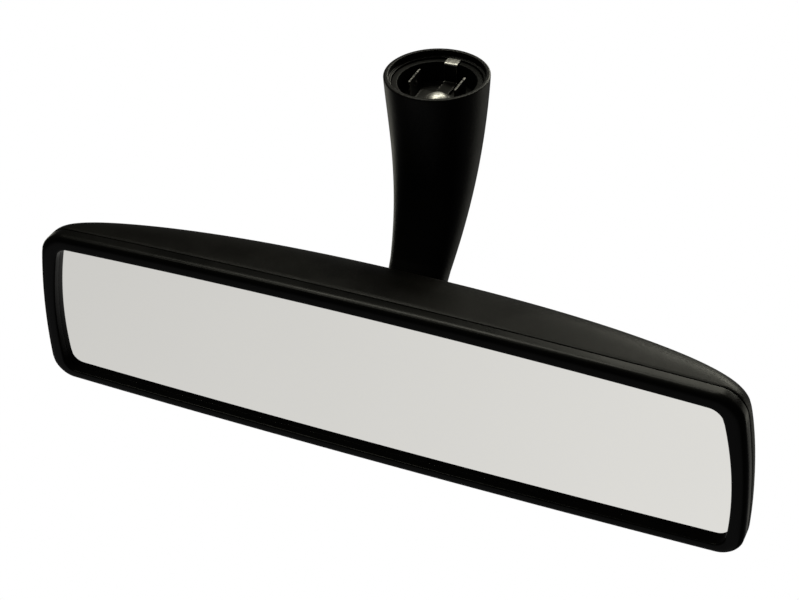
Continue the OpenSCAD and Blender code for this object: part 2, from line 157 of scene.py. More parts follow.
class MirrorStage(PropertyGroup):
    """Camera, floor and lights"""

    aim: FloatVectorProperty(
        name="Aim", description="Point that the camera looks at", size=3,
        default=(0.0103374, GLASS_Y, -0.0458943), unit="LENGTH", precision=5,
    )
    distance: length("Distance", "From the camera to the aim", 0.5362093)
    yaw: FloatProperty(
        name="Yaw", description="Turn of the camera about the upright",
        default=0.4408012, subtype="ANGLE",
    )
    pitch: FloatProperty(
        name="Pitch", description="Height of the camera as an angle", default=0.6325403, subtype="ANGLE",
    )
    roll: FloatProperty(
        name="Roll", description="Roll of the camera", default=-0.0380394, subtype="ANGLE",
    )
    lens: number("Lens", "Focal length in millimetres on a 36 mm sensor", 81.08)
    floor_drop: length("Floor drop", "Distance of the floor below the head", 1.1)
    floor_w: length("Floor width", "Side of the floor", 40.0)
    floor_glow: number("Floor tone", "How bright the floor is in a reflection", 0.86)
    sky_glow: number("Backdrop tone", "How bright the backdrop is in a reflection", 0.10)


# ---------------------------------------------------------------- shapes


def mix(a, b, k):
    """The value k of the way from a to b."""
    return a + (b - a) * k


def rounded(points, radii, steps=5):
    """A 2-D path with its inner corners rounded: the first and last points stay."""
    path = [Vector(points[0])]
    for before, here, after, radius in zip(points, points[1:], points[2:], radii):
        here = Vector(here)
        arm_in = Vector(before) - here
        arm_out = Vector(after) - here
        reach = min(radius, 0.5 * arm_in.length, 0.5 * arm_out.length)
        start = here + arm_in.normalized() * reach
        end = here + arm_out.normalized() * reach
        for i in range(steps + 1):
            t = i / steps
            path.append(start * (1 - t) ** 2 + here * 2 * t * (1 - t) + end * t ** 2)
    path.append(Vector(points[-1]))
    return path


def mesh_piece(name, points, faces, crease=32.0):
    """A smooth-shaded mesh object from points and faces, with sharp edges past an angle."""
    mesh = bpy.data.meshes.new(name)
    mesh.from_pydata([tuple(p) for p in points], [], faces)
    clean_mesh(mesh, crease)
    obj = bpy.data.objects.new(name, mesh)
    bpy.context.scene.collection.objects.link(obj)
    return obj


def clean_mesh(mesh, crease):
    """Joins doubled points, turns the faces outwards and marks the sharp edges."""
    shape = bmesh.new()
    shape.from_mesh(mesh)
    bmesh.ops.remove_doubles(shape, verts=shape.verts, dist=1e-7)
    bmesh.ops.dissolve_degenerate(shape, edges=shape.edges, dist=1e-7)
    bmesh.ops.recalc_face_normals(shape, faces=shape.faces)
    shape.to_mesh(mesh)
    shape.free()
    mesh.shade_smooth()
    mesh.set_sharp_from_angle(angle=math.radians(crease))


def skin(rings, loop=False, start="open", end="open"):
    """Points and faces of a skin over equal rings. An end is open, flat or a fan to its middle."""
    n = len(rings[0])
    count = len(rings)
    points = [p for ring in rings for p in ring]
    faces = []
    for i in range(count if loop else count - 1):
        a = i * n
        b = ((i + 1) % count) * n
        faces += [(a + j, b + j, b + (j + 1) % n, a + (j + 1) % n) for j in range(n)]
    for kind, first in ((start, 0), (end, (count - 1) * n)):
        if kind == "flat":
            faces.append(tuple(range(first, first + n)))
        if kind == "fan":
            middle = np.mean(np.array([points[first + j] for j in range(n)]), axis=0)
            points.append(middle)
            faces += [(first + j, first + (j + 1) % n, len(points) - 1) for j in range(n)]
    return points, faces


def lathe(profile, turn=Matrix.Identity(4), steps=96, start="fan", end="fan"):
    """Points and faces of a profile of (radius, height) pairs turned about Z, then moved by turn."""
    rings = []
    for radius, height in profile:
        ring = [(radius * math.cos(math.tau * i / steps), radius * math.sin(math.tau * i / steps), height)
                for i in range(steps)]
        rings.append([turn @ Vector(p) for p in ring])
    return skin(rings, start=start, end=end)


def merged(*shapes):
    """Several (points, faces) pairs as one."""
    points = []
    faces = []
    for some_points, some_faces in shapes:
        first = len(points)
        points += list(some_points)
        faces += [tuple(first + i for i in face) for face in some_faces]
    return points, faces


def carve(obj, tool_shape, operation="DIFFERENCE", crease=32.0):
    """Cuts a shape of (points, faces) out of a piece, or joins it on."""
    tool = mesh_piece("tool", *tool_shape)
    cut = obj.modifiers.new("cut", "BOOLEAN")
    cut.operation = operation
    cut.solver = "EXACT"
    cut.object = tool
    settle(obj, crease)
    bpy.data.objects.remove(tool)


def settle(obj, crease=32.0):
    """Applies a piece's modifiers to its mesh."""
    graph = bpy.context.evaluated_depsgraph_get()
    graph.update()
    made = bpy.data.meshes.new_from_object(obj.evaluated_get(graph))
    old = obj.data
    obj.modifiers.clear()
    obj.data = made
    made.name = obj.name
    bpy.data.meshes.remove(old)
    clean_mesh(made, crease)


def place(obj, body, slot, *nodes):
    """Puts a piece on its body and in place of its plain nodes; its finish slot is not used."""
    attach(obj, body)
    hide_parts(*nodes)
    return obj


# ---------------------------------------------------------------- outline of the head


class Outline:
    """The head's outlines in its own plane: k is 0 at the window and 1 at the bezel's outside."""

    SIDE_STEPS = 10
    CORNER_STEPS = 28
    TOP_STEPS = 60
    HALVINGS = 30

    def __init__(self, sizes):
        self.s = sizes
        self.half_w = sizes.window_w / 2
        self.half_h = sizes.window_h / 2
        self.rays = self.make_rays()

    def top(self, x, k):
        s = self.s
        return self.half_h + k * s.lip_top - mix(s.window_crown, s.bezel_crown, k) * (x / self.half_w) ** 2

    def bottom(self, x, k):
        s = self.s
        return self.half_h + k * s.lip_bottom - s.bottom_crown * (x / self.half_w) ** 2

    def side(self, z, k):
        s = self.s
        bulge = mix(s.window_bulge, s.bezel_bulge, k) * (z / self.half_h) ** 2
        return self.half_w + k * s.lip_side - bulge - mix(s.window_lean, s.bezel_lean, k) * z

    def inset(self, p, k):
        """Distance from points of the plane in to the outline's edge."""
        x, z = p[:, 0], p[:, 1]
        corner = mix(self.s.window_corner, self.s.bezel_corner, k)
        dx = self.side(z, k) - np.abs(x)
        dz = np.where(z > 0, self.top(x, k) - z, self.bottom(x, k) + z)
        at_corner = corner - np.hypot(corner - dx, corner - dz)
        return np.where((dx < corner) & (dz < corner), at_corner, np.minimum(dx, dz))

    def make_rays(self):
        """Points round a plain rounded rectangle, one for each point of an outline."""
        s = self.s
        w = self.half_w + s.lip_side
        h = self.half_h + s.lip_top
        r = s.bezel_corner
        quarter = [(w, (h - r) * i / self.SIDE_STEPS) for i in range(self.SIDE_STEPS)]
        for i in range(self.CORNER_STEPS + 1):
            turn = math.pi / 2 * i / self.CORNER_STEPS
            quarter.append((w - r + r * math.cos(turn), h - r + r * math.sin(turn)))
        quarter += [((w - r) * (1 - i / self.TOP_STEPS), h) for i in range(1, self.TOP_STEPS + 1)]
        q = np.array(quarter)
        back = q[:0:-1]
        return np.concatenate([q[:-1], back * (-1, 1), q[:-1] * (-1, -1), back * (1, -1)])

    def edge(self, k):
        """The outline's points, found by halving along each ray."""
        low = np.full(len(self.rays), 0.5)
        high = np.full(len(self.rays), 1.5)
        for _ in range(self.HALVINGS):
            middle = (low + high) / 2
            inside = self.inset(self.rays * middle[:, None], k) > 0
            low = np.where(inside, middle, low)
            high = np.where(inside, high, middle)
        return self.rays * low[:, None]

    def ring(self, k, y):
        """The outline as points in the part's frame, y behind the glass face."""
        p = self.edge(k)
        return np.column_stack([p[:, 0], np.full(len(p), y), p[:, 1]]) + np.array(HEAD_MIDDLE)

    def spread(self, p, k):
        """How full the shell is over points of the plane, before its dome power."""
        s = self.s
        x, z = p[:, 0], p[:, 1]
        level = np.where(z > 0, np.abs(z / self.top(x, k)), np.abs(z / self.bottom(x, k)))
        fullness = np.where(z > 0, s.top_fullness, s.low_fullness)
        ends = 1 - np.minimum(np.abs(x / self.side(z, k)), 1) ** s.end_fullness
        return ends * (1 - np.minimum(level, 1) ** fullness)


class Bezel:
    """Places across and behind the lip, shared by the bezel, the glass and the shell."""

    LIP_W = 4.6 * MM
    PART_Y = 2.0 * MM
    PART_GAP = 0.3 * MM
    LIP_PROUD = 0.4 * MM
    GLASS_K = 0.30
    POCKET_K = 0.34
    SKIRT_K = 0.55
    SKIRT_Y = 4.8 * MM


def head_outline():
    """The outline family of the scene's head sizes."""
    return Outline(bpy.context.scene.mirror_head)


# ---------------------------------------------------------------- finishes


class Finish:
    """A material being made: its tree, its shader and short ways to add nodes."""

    def __init__(self, name):
        self.material = bpy.data.materials.new(name)
        self.material.use_nodes = True
        self.tree = self.material.node_tree
        self.shader = self.tree.nodes["Principled BSDF"]
        self.object_place = self.tree.nodes.new("ShaderNodeTexCoord").outputs["Object"]

    def set(self, **values):
        """Constants on the shader's own sockets, named with _ for spaces."""
        for name, value in values.items():
            self.shader.inputs[name.replace("_", " ")].default_value = value
        return self

    def node(self, kind, **inputs):
        """A node with inputs set or linked by name."""
        return add_node(self.tree, kind, **inputs)

    def effect(self, group, **inputs):
        """A shared effect placed in this material."""
        node = self.tree.nodes.new("ShaderNodeGroup")
        node.node_tree = group
        feed(self.tree, node, inputs)
        return node

    def link(self, output, socket):
        self.tree.links.new(output, self.shader.inputs[socket])
        return self

    def bump(self, height, depth, before=None):
        """A bump of a real depth in metres, after another one if there is one."""
        node = self.node("ShaderNodeBump", Height=height, Distance=depth)
        node.inputs["Strength"].default_value = 1.0
        if before is not None:
            self.tree.links.new(before, node.inputs["Normal"])
        return node.outputs["Normal"]

    def blend(self, mask, a, b):
        """Colour a where the mask is 0 and b where it is 1."""
        return blend_colours(self.tree, mask, a, b)


def feed(tree, node, inputs):
    """Sets or links a node's inputs. A tuple of three becomes a colour where one is wanted."""
    for name, value in inputs.items():
        socket = node.inputs[name.replace("_", " ")] if isinstance(name, str) else node.inputs[name]
        if isinstance(value, bpy.types.NodeSocket):
            tree.links.new(value, socket)
        elif hasattr(value, "__len__") and socket.type == "RGBA":
            socket.default_value = (*tuple(value)[:3], 1.0)
        else:
            socket.default_value = value


def add_node(tree, kind, **inputs):
    """A node with inputs set or linked by name."""
    node = tree.nodes.new(kind)
    feed(tree, node, inputs)
    return node


def calculate(tree, operation, a, b=None, clamp=False):
    """The output of a Math node."""
    node = tree.nodes.new("ShaderNodeMath")
    node.operation = operation
    node.use_clamp = clamp
    for socket, value in zip(node.inputs, (a, b)):
        if isinstance(value, bpy.types.NodeSocket):
            tree.links.new(value, socket)
        elif value is not None:
            socket.default_value = value
    return node.outputs[0]


def remap(tree, value, low, high, to_low=0.0, to_high=1.0):
    """A value carried smoothly from one range to another."""
    node = tree.nodes.new("ShaderNodeMapRange")
    node.interpolation_type = "SMOOTHSTEP"
    tree.links.new(value, node.inputs[0])
    for socket, number_ in zip(node.inputs[1:5], (low, high, to_low, to_high)):
        socket.default_value = number_
    return node.outputs[0]


def blend_colours(tree, mask, a, b):
    """Colour a where the mask is 0 and b where it is 1."""
    node = tree.nodes.new("ShaderNodeMix")
    node.data_type = "RGBA"
    for socket, value in ((node.inputs["Factor"], mask), (node.inputs[6], a), (node.inputs[7], b)):
        if isinstance(value, bpy.types.NodeSocket):
            tree.links.new(value, socket)
        elif hasattr(value, "__len__"):
            socket.default_value = (*tuple(value)[:3], 1.0)
        else:
            socket.default_value = value
    return node.outputs[2]


def scaled(tree, vector, x, y=None, z=None):
    """A place multiplied along each axis, so that a texture has a real size."""
    node = tree.nodes.new("ShaderNodeVectorMath")
    node.operation = "MULTIPLY"
    tree.links.new(vector, node.inputs[0])
    node.inputs[1].default_value = (x, x if y is None else y, x if z is None else z)
    return node.outputs[0]


def new_group(name, inputs, outputs):
    """An empty shader node group: (group, input sockets by name, function that sets an output)."""
    group = bpy.data.node_groups.new(name, "ShaderNodeTree")
    for label, kind, default in inputs:
        socket = group.interface.new_socket(label, in_out="INPUT", socket_type=kind)
        if default is not None:
            socket.default_value = default
    for label, kind in outputs:
        group.interface.new_socket(label, in_out="OUTPUT", socket_type=kind)
    source = group.nodes.new("NodeGroupInput").outputs
    sink = group.nodes.new("NodeGroupOutput").inputs
    return group, source, lambda label, socket: group.links.new(socket, sink[label])


def moulded_grain():
    """Fine spark-eroded grain: small pits and soft lumps on a moulded or painted face."""
    group, source, put = new_group(
        "moulded_grain",
        [("Place", "NodeSocketVector", None), ("Per metre", "NodeSocketFloat", 3000.0)],
        [("Height", "NodeSocketFloat"), ("Tone", "NodeSocketFloat")],
    )
    fine = add_node(group, "ShaderNodeTexNoise", Vector=source["Place"], Scale=source["Per metre"], Detail=3.0,
                    Roughness=0.62)
    pits = add_node(group, "ShaderNodeTexVoronoi", Vector=source["Place"], Scale=source["Per metre"],
                    Randomness=1.0)
    pit = remap(group, pits.outputs["Distance"], 0.1, 0.75)
    height = calculate(group, "MULTIPLY", fine.outputs[0], pit)
    broad_scale = calculate(group, "MULTIPLY", source["Per metre"], 0.018)
    broad = add_node(group, "ShaderNodeTexNoise", Vector=source["Place"], Scale=broad_scale, Detail=4.0,
                     Roughness=0.55)
    put("Height", height)
    put("Tone", broad.outputs[0])
    return group


def rubbed_edges():
    """Where handling has polished the corners of a piece: 1 on its rubbed edges."""
    group, source, put = new_group(
        "rubbed_edges",
        [("Place", "NodeSocketVector", None), ("Per metre", "NodeSocketFloat", 900.0)],
        [("Mask", "NodeSocketFloat")],
    )
    shape = add_node(group, "ShaderNodeNewGeometry")
    edge = remap(group, shape.outputs["Pointiness"], 0.515, 0.60)
    patch = add_node(group, "ShaderNodeTexNoise", Vector=source["Place"], Scale=source["Per metre"], Detail=5.0)
    broken = remap(group, patch.outputs[0], 0.38, 0.66)
    put("Mask", calculate(group, "MULTIPLY", edge, broken, clamp=True))
    return group


def settled_dust():
    """A thin bloom of dust on faces that look up, in soft patches and loose specks."""
    group, source, put = new_group(
        "settled_dust",
        [("Place", "NodeSocketVector", None), ("Amount", "NodeSocketFloat", 0.3)],
        [("Mask", "NodeSocketFloat")],
    )
    shape = add_node(group, "ShaderNodeNewGeometry")
    parts = add_node(group, "ShaderNodeSeparateXYZ", Vector=shape.outputs["Normal"])
    up = remap(group, parts.outputs["Z"], 0.25, 1.0)
    patch = add_node(group, "ShaderNodeTexNoise", Vector=source["Place"], Scale=120.0, Detail=6.0)
    soft = remap(group, patch.outputs[0], 0.35, 0.75)
    speck = add_node(group, "ShaderNodeTexVoronoi", Vector=source["Place"], Scale=1400.0)
    dot = remap(group, speck.outputs["Distance"], 0.16, 0.05)
    cover = calculate(group, "ADD", calculate(group, "MULTIPLY", soft, 0.5), dot, clamp=True)
    put("Mask", calculate(group, "MULTIPLY", calculate(group, "MULTIPLY", up, cover), source["Amount"]))
    return group


def drawn_lines():
    """Long fine lines left in metal by rolling or turning. The place is stretched beforehand."""
    group, source, put = new_group(
        "drawn_lines",
        [("Place", "NodeSocketVector", None)],
        [("Height", "NodeSocketFloat"), ("Tone", "NodeSocketFloat")],
    )
    lines = add_node(group, "ShaderNodeTexNoise", Vector=source["Place"], Scale=1.0, Detail=6.0, Roughness=0.7)
    broad_place = scaled(group, source["Place"], 0.07)
    broad = add_node(group, "ShaderNodeTexNoise", Vector=broad_place, Scale=1.0, Detail=3.0)
    put("Height", lines.outputs[0])
    put("Tone", broad.outputs[0])
    return group


class Effects:
    """The shared effects, built once."""

    made = {}

    @classmethod
    def get(cls, maker):
        if maker.__name__ not in cls.made:
            cls.made[maker.__name__] = maker()
        return cls.made[maker.__name__]


def finish_once(maker):
    """Makes a material on its first use and hands back the same one after that."""
    def wrapped():
        found = bpy.data.materials.get(maker.__name__)
        return found or maker()
    wrapped.__name__ = maker.__name__
    return wrapped


def dark_plastic(name, tint, level, roughness, grain_depth, grain_w, dust, wear_and_highlight):
    """Black plastic or paint with a moulded grain, polished edges and a little dust."""
    finish = Finish(name)
    place_ = finish.object_place
    grain = finish.effect(Effects.get(moulded_grain), Place=place_, Per_metre=1.0 / grain_w)
    wear = finish.effect(Effects.get(rubbed_edges), Place=place_)
    bloom = finish.effect(Effects.get(settled_dust), Place=place_, Amount=dust)
    tint = Vector(tint)
    warm = Vector((tint.x * 1.35, tint.y * 1.3, tint.z * 1.15))
    base = finish.blend(grain.outputs["Tone"], tint * 0.7, warm)
    base = finish.blend(calculate(finish.tree, "MULTIPLY", wear.outputs["Mask"], wear_and_highlight), base, tint * 5.0)
    base = finish.blend(bloom.outputs["Mask"], base, (0.16, 0.155, 0.145))
    rough = remap(finish.tree, grain.outputs["Tone"], 0.25, 0.75, roughness - 0.05, roughness + 0.06)
    rubbed = calculate(finish.tree, "MULTIPLY", wear.outputs["Mask"], -0.10)
    finish.link(base, "Base Color")
    finish.link(calculate(finish.tree, "ADD", rough, rubbed, clamp=True), "Roughness")
    finish.link(finish.bump(grain.outputs["Height"], grain_depth), "Normal")
    finish.set(Specular_IOR_Level=level)
    return finish.material


@finish_once
def shell_plastic():
    """Finely grained satin black moulding."""
    c = bpy.context.scene.mirror_colours
    return dark_plastic("shell_plastic", c.shell, 0.022, 0.39, 0.000022, c.grain, 0.006, 0.15)


@finish_once
def bezel_plastic():
    """Smooth black moulding with a soft sheen."""
    c = bpy.context.scene.mirror_colours
    return dark_plastic("bezel_plastic", c.bezel, 0.03, 0.28, 0.000004, c.grain * 1.6, 0.006, 0.1)


@finish_once
def powder_paint():
    """Matte black powder paint with a fine orange peel."""
    c = bpy.context.scene.mirror_colours
    return dark_plastic("powder_paint", c.arm, 0.045, 0.37, 0.00004, c.grain * 1.4, 0.006, 0.1)


@finish_once
def inner_plastic():
    """Glass-filled black plastic with a coarser, drier face."""
    c = bpy.context.scene.mirror_colours
    return dark_plastic("inner_plastic", c.moulded, 0.025, 0.50, 0.00002, c.grain * 1.3, 0.012, 0.3)


@finish_once
def silvered_glass():
    """Silvered float glass: almost perfect, with the faintest haze and tone drift."""
    c = bpy.context.scene.mirror_colours
    finish = Finish("silvered_glass")
    slow = finish.node("ShaderNodeTexNoise", Vector=finish.object_place, Scale=9.0, Detail=2.0)
    haze = finish.node("ShaderNodeTexNoise", Vector=finish.object_place, Scale=260.0, Detail=5.0)
    silver = Vector(c.silver)
    finish.link(finish.blend(slow.outputs[0], silver * 0.96, silver * 1.02), "Base Color")
    finish.link(remap(finish.tree, haze.outputs[0], 0.3, 0.8, 0.012, 0.045), "Roughness")
    finish.set(Metallic=1.0)
    return finish.material


@finish_once
def glass_lacquer():
    """Grey-green protective paint over the silver, with a dragged brush texture."""
    c = bpy.context.scene.mirror_colours
    finish = Finish("glass_lacquer")
    streak_place = scaled(finish.tree, finish.object_place, 60.0, 400.0, 900.0)
    streak = finish.effect(Effects.get(drawn_lines), Place=streak_place)
    tint = Vector(c.lacquer)
    finish.link(finish.blend(streak.outputs["Tone"], tint * 0.8, tint * 1.25), "Base Color")
    finish.link(remap(finish.tree, streak.outputs["Height"], 0.3, 0.7, 0.28, 0.5), "Roughness")
    finish.link(finish.bump(streak.outputs["Height"], 0.000006), "Normal")
    return finish.material


def metal(name, tint, roughness, stretch, depth, worn_to, tarnish):
    """Rolled or turned metal: drawn lines, broad tone drift and brighter edges."""
    finish = Finish(name)
    lines_place = scaled(finish.tree, finish.object_place, *stretch)
    lines = finish.effect(Effects.get(drawn_lines), Place=lines_place)
    wear = finish.effect(Effects.get(rubbed_edges), Place=finish.object_place, Per_metre=1600.0)
    tint = Vector(tint)
    base = finish.blend(lines.outputs["Tone"], tint * tarnish, tint)
    base = finish.blend(wear.outputs["Mask"], base, worn_to)
    finish.link(base, "Base Color")
    finish.link(remap(finish.tree, lines.outputs["Height"], 0.25, 0.75, roughness - 0.08, roughness + 0.12),
                "Roughness")
    finish.link(finish.bump(lines.outputs["Height"], depth), "Normal")
    finish.set(Metallic=1.0)
    return finish.material


@finish_once
def plated_steel():
    """Zinc-plated steel of screws, pin and washers."""
    c = bpy.context.scene.mirror_colours
    return metal("plated_steel", c.steel, 0.26, (2600.0, 2600.0, 700.0), 0.000003, (0.72, 0.71, 0.69), 0.72)


@finish_once
def rivet_steel():
    """Cold-headed rivet steel, tumbled smooth."""
    c = bpy.context.scene.mirror_colours
    return metal("rivet_steel", Vector(c.steel) * 0.4, 0.42, (1500.0, 1500.0, 1500.0), 0.000006, (0.30, 0.295, 0.285), 0.45)


@finish_once
def spring_steel():
    """Bright rolled spring strip of the dished washers."""
    c = bpy.context.scene.mirror_colours
    return metal("spring_steel", c.steel, 0.34, (5200.0, 300.0, 300.0), 0.000004, (0.7, 0.69, 0.66), 0.68)


@finish_once
def dark_spring_steel():
    """Oil-blackened steel, rubbed bright on its edges."""
    c = bpy.context.scene.mirror_colours
    return metal("dark_spring_steel", c.dark_steel, 0.40, (900.0, 5200.0, 900.0), 0.000005,
                 (0.12, 0.117, 0.11), 0.45)


@finish_once
def leaf_steel():
    """Blackened spring strip, with a painted highlight on the tip that bears on the button."""
    c = bpy.context.scene.mirror_colours
    material = metal("leaf_steel", c.dark_steel, 0.40, (5200.0, 900.0, 900.0), 0.000005, (0.10, 0.098, 0.092), 0.45)
    tree = material.node_tree
    shader = tree.nodes["Principled BSDF"]
    place_ = add_node(tree, "ShaderNodeSeparateXYZ", Vector=tree.nodes["Texture Coordinate"].outputs["Object"])
    # Painted highlight: the leaf above the set height is painted brighter, in patches
    tip = remap(tree, place_.outputs["Z"], LEAF_HIGHLIGHT_FROM - 0.3 * MM, LEAF_HIGHLIGHT_FROM)
    patch = add_node(tree, "ShaderNodeTexNoise", Vector=tree.nodes["Texture Coordinate"].outputs["Object"],
                     Scale=1500.0, Detail=4.0)
    wear_and_highlight = calculate(tree, "MULTIPLY", tip, remap(tree, patch.outputs[0], 0.25, 0.6, 0.35, 1.0))
    before = shader.inputs["Base Color"].links[0].from_socket
    tree.links.new(blend_colours(tree, wear_and_highlight, before, Vector(c.steel) * 0.22), shader.inputs["Base Color"])
    return material


@finish_once
def turned_acetal():
    """Creamy white acetal with faint turning marks."""
    c = bpy.context.scene.mirror_colours
    finish = Finish("turned_acetal")
    ring_place = scaled(finish.tree, finish.object_place, 260.0, 260.0, 5200.0)
    rings = finish.effect(Effects.get(drawn_lines), Place=ring_place)
    tint = Vector(c.acetal)
    finish.link(finish.blend(rings.outputs["Tone"], tint * 0.9, tint * 1.06), "Base Color")
    finish.link(remap(finish.tree, rings.outputs["Height"], 0.3, 0.7, 0.30, 0.46), "Roughness")
    finish.link(finish.bump(rings.outputs["Height"], 0.000004), "Normal")
    finish.set(Subsurface_Weight=0.12, Subsurface_Scale=0.002)
    return finish.material


@finish_once
def open_foam():
    """Dark open-cell foam."""
    c = bpy.context.scene.mirror_colours
    finish = Finish("open_foam")
    cells = finish.node("ShaderNodeTexVoronoi", Vector=finish.object_place, Scale=1500.0)
    small = finish.node("ShaderNodeTexNoise", Vector=finish.object_place, Scale=4200.0, Detail=4.0)
    pit = remap(finish.tree, cells.outputs["Distance"], 0.15, 0.6)
    tint = Vector(c.foam)
    # Painted shade: the cells' hollows are coloured darker than their rims
    finish.link(finish.blend(pit, tint * 0.35, tint * 1.6), "Base Color")
    finish.link(remap(finish.tree, small.outputs[0], 0.3, 0.7, 0.8, 0.98), "Roughness")
    height = calculate(finish.tree, "ADD", pit, calculate(finish.tree, "MULTIPLY", small.outputs[0], 0.4))
    finish.link(finish.bump(height, 0.00022), "Normal")
    return finish.material


@finish_once
def safety_film():
    """Thin woven-look film with a satin face."""
    c = bpy.context.scene.mirror_colours
    finish = Finish("safety_film")
    tree = finish.tree
    weave = finish.node("ShaderNodeTexWave", Vector=finish.object_place, Scale=700.0, Distortion=0.6)
    cross = finish.node("ShaderNodeTexWave", Vector=finish.object_place, Scale=700.0, Distortion=0.6)
    cross.bands_direction = "Z"
    slow = finish.node("ShaderNodeTexNoise", Vector=finish.object_place, Scale=70.0, Detail=3.0)
    height = calculate(tree, "MULTIPLY", weave.outputs[1], cross.outputs[1])
    tint = Vector(c.film)
    finish.link(finish.blend(slow.outputs[0], tint * 0.8, tint * 1.4), "Base Color")
    finish.link(remap(tree, height, 0.0, 1.0, 0.36, 0.52), "Roughness")
    finish.link(finish.bump(height, 0.00002), "Normal")
    return finish.material


def paint(obj, *materials):
    """Gives a piece its materials in order."""
    obj.data.materials.clear()
    for material in materials:
        obj.data.materials.append(material)


def dress(node, material, edge):
    """Finishes a node of the frame: its material, and fine rounded edges by modifiers."""
    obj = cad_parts[node]
    if not obj.material_slots:
        obj.data.materials.append(material)
    for slot in obj.material_slots:
        slot.link = "OBJECT"
        slot.material = material
    weld = obj.modifiers.new("weld", "WELD")
    weld.merge_threshold = 2e-6
    flat = obj.modifiers.new("flat", "DECIMATE")
    flat.decimate_type = "DISSOLVE"
    flat.angle_limit = math.radians(0.6)
    soft = obj.modifiers.new("soft", "BEVEL")
    soft.width = edge
    soft.segments = 2
    soft.limit_method = "ANGLE"
    soft.angle_limit = math.radians(40.0)
    even = obj.modifiers.new("even", "WEIGHTED_NORMAL")
    even.keep_sharp = True
    return obj


# ---------------------------------------------------------------- pieces


class MIRROR_OT_bezel(Operator):
    """Builds the bezel: a closed frame with a rounded lip, a pocket for the glass and a skirt"""

    bl_idname = "mirror.bezel"
    bl_label = "Bezel"

    def execute(self, context):
        s = context.scene.mirror_head
        outline = head_outline()
        lip = Bezel.LIP_W
        front = -s.recess - Bezel.LIP_PROUD
        fine = s.edge_round
        section = [
            (Bezel.SKIRT_K * lip, Bezel.PART_Y), (lip, Bezel.PART_Y), (lip, front), (0, front), (0, 0),
            (Bezel.POCKET_K * lip, 0), (Bezel.POCKET_K * lip, Bezel.SKIRT_Y),
            (Bezel.SKIRT_K * lip, Bezel.SKIRT_Y), (Bezel.SKIRT_K * lip, Bezel.PART_Y),
        ]
        radii = [fine, s.lip_round, 2.2 * fine, 0.4 * fine, 0.4 * fine, fine, fine]
        path = rounded(section, radii, steps=8)[:-1]
        rings = [outline.ring(p.x / lip, p.y) for p in path]
        obj = mesh_piece("bezel_frame", *skin(rings, loop=True), crease=40.0)
        paint(obj, bezel_plastic())
        place(obj, "head", "bezel", "bezel")
        return {"FINISHED"}


class ArmShape:
    """Places along the arm and the ball's axis, from the arm's sizes."""

    AROUND = 144
    WIDTH_EASE = 1.15
    DEPTH_EASE = 1.3
    FOOT_SECTION = 2.5
    FOOT_TAPER = ((22, 0.97), (18, 0.93), (15, 0.88), (13.9, 0.83))
    SHANK_FROM = 13.4 * MM
    SHANK_TO = 33.0 * MM
    SHANK_R = 4.52 * MM
    FOOT_END = 0.74

    def __init__(self, sizes):
        self.s = sizes
        self.ball = HEAD_MIDDLE + Vector((0, sizes.ball_back, -sizes.ball_low))
        self.axis = Vector((0, math.sin(sizes.lean), math.cos(sizes.lean)))
        self.bend = self.ball + self.axis * sizes.bend_gap
        self.power = math.tan(sizes.lean) * self.bend.z / self.bend.y

    def on_axis(self, up=0.0):
        """The matrix that puts Z on the ball's axis, up from the ball's centre."""
        turn = Matrix.Rotation(-self.s.lean, 4, "X")
        return Matrix.Translation(self.ball + self.axis * up) @ turn

    def section(self, at, lean, w, t, squareness):
        """A rounded section across the arm at a point."""
        turns = -math.tau * np.arange(self.AROUND) / self.AROUND
        c, v = np.cos(turns), np.sin(turns)
        x = np.sign(c) * np.abs(c) ** (2 / squareness) * w / 2
        v = np.sign(v) * np.abs(v) ** (2 / squareness) * t / 2
        return np.column_stack([x, v * math.cos(lean), -v * math.sin(lean)]) + np.array(at)

    def curved(self, share, inset=0.0):
        """The section a share of the way from the socket's rim to the bend."""
        s = self.s
        at = (0.0, self.bend.y * share ** self.power, self.bend.z * share)
        lean = math.atan(math.tan(s.lean) * share ** (self.power - 1)) if share > 0 else 0.0
        w = mix(2 * s.rim_r, s.foot_w, share ** self.WIDTH_EASE) - 2 * inset
        t = mix(2 * s.rim_r, s.foot_t, share ** self.DEPTH_EASE) - 2 * inset
        return self.section(at, lean, w, t, mix(2.0, self.FOOT_SECTION, share))

    def straight(self, up, scale):
        """The section on the ball's axis below the bend."""
        s = self.s
        at = self.ball + self.axis * up
        return self.section(at, s.lean, scale * s.foot_w, scale * s.foot_t, self.FOOT_SECTION)

    def circle(self, z, r):
        return self.section((0, 0, z), 0.0, 2 * r, 2 * r, 2.0)

    def shank_circle(self, up, r):
        return self.section(self.ball + self.axis * up, self.s.lean, 2 * r, 2 * r, 2.0)

    def foot_scale(self, up):
        """The taper of the foot, smooth through its chosen places."""
        ups = [self.SHANK_FROM] + [u * MM for u, _ in reversed(self.FOOT_TAPER)] + [self.s.bend_gap]
        scales = [self.FOOT_END] + [k for _, k in reversed(self.FOOT_TAPER)] + [1.0]
        return float(np.interp(up, ups, scales))


